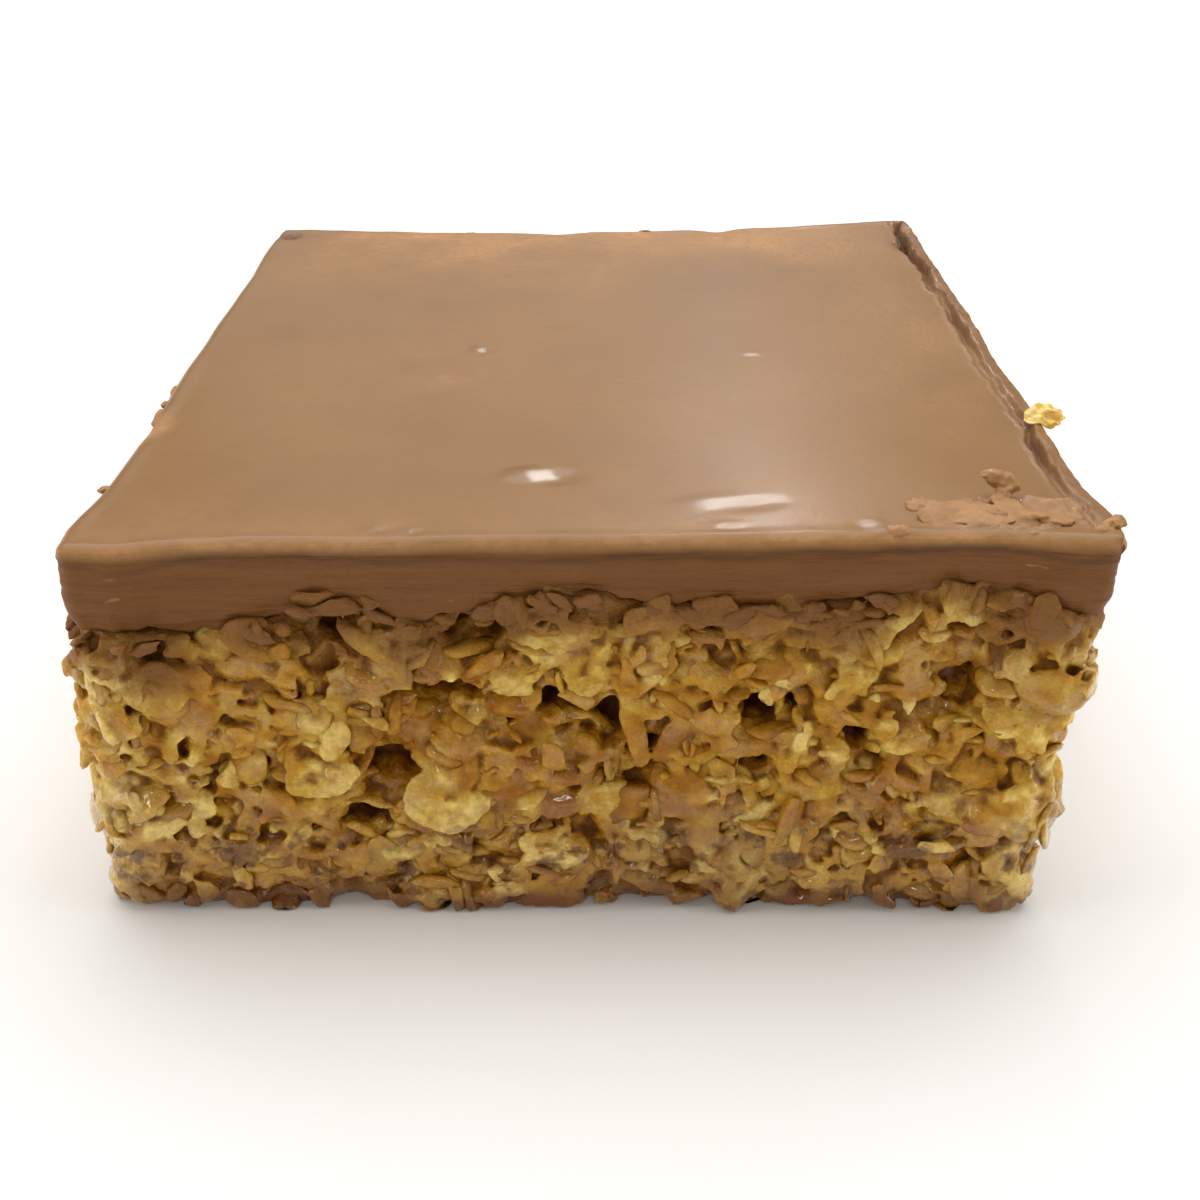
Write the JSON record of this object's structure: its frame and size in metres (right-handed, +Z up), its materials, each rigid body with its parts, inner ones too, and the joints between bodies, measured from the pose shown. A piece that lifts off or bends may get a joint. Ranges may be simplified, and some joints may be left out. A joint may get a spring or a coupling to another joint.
{
  "type": "chocolate-topped oat granola bar",
  "caption": "Square-cut baked oat bar: a thick craggy base of syrup-bound rolled oats under a smooth layer of milk chocolate.",
  "frame": {"origin": "under the middle of the bar's bounding box, on the surface it rests on", "axes": "+Z up through the layers, +Y along the bar's longer side, away from the cut face shown in the picture"},
  "size_m": [0.072, 0.0818, 0.0327],
  "materials": {
    "oat_base": "sticky syrup-bound rolled oats, golden brown with paler flakes and amber hollows, satin to wet gloss",
    "chocolate_layer": "set milk chocolate, smooth with a soft satin sheen on top, matte and drawn by the knife at the cut sides"
  },
  "bodies": {
    "root": {"oat_base": "oat_base", "chocolate_layer": "chocolate_layer"}
  },
  "joints": []
}
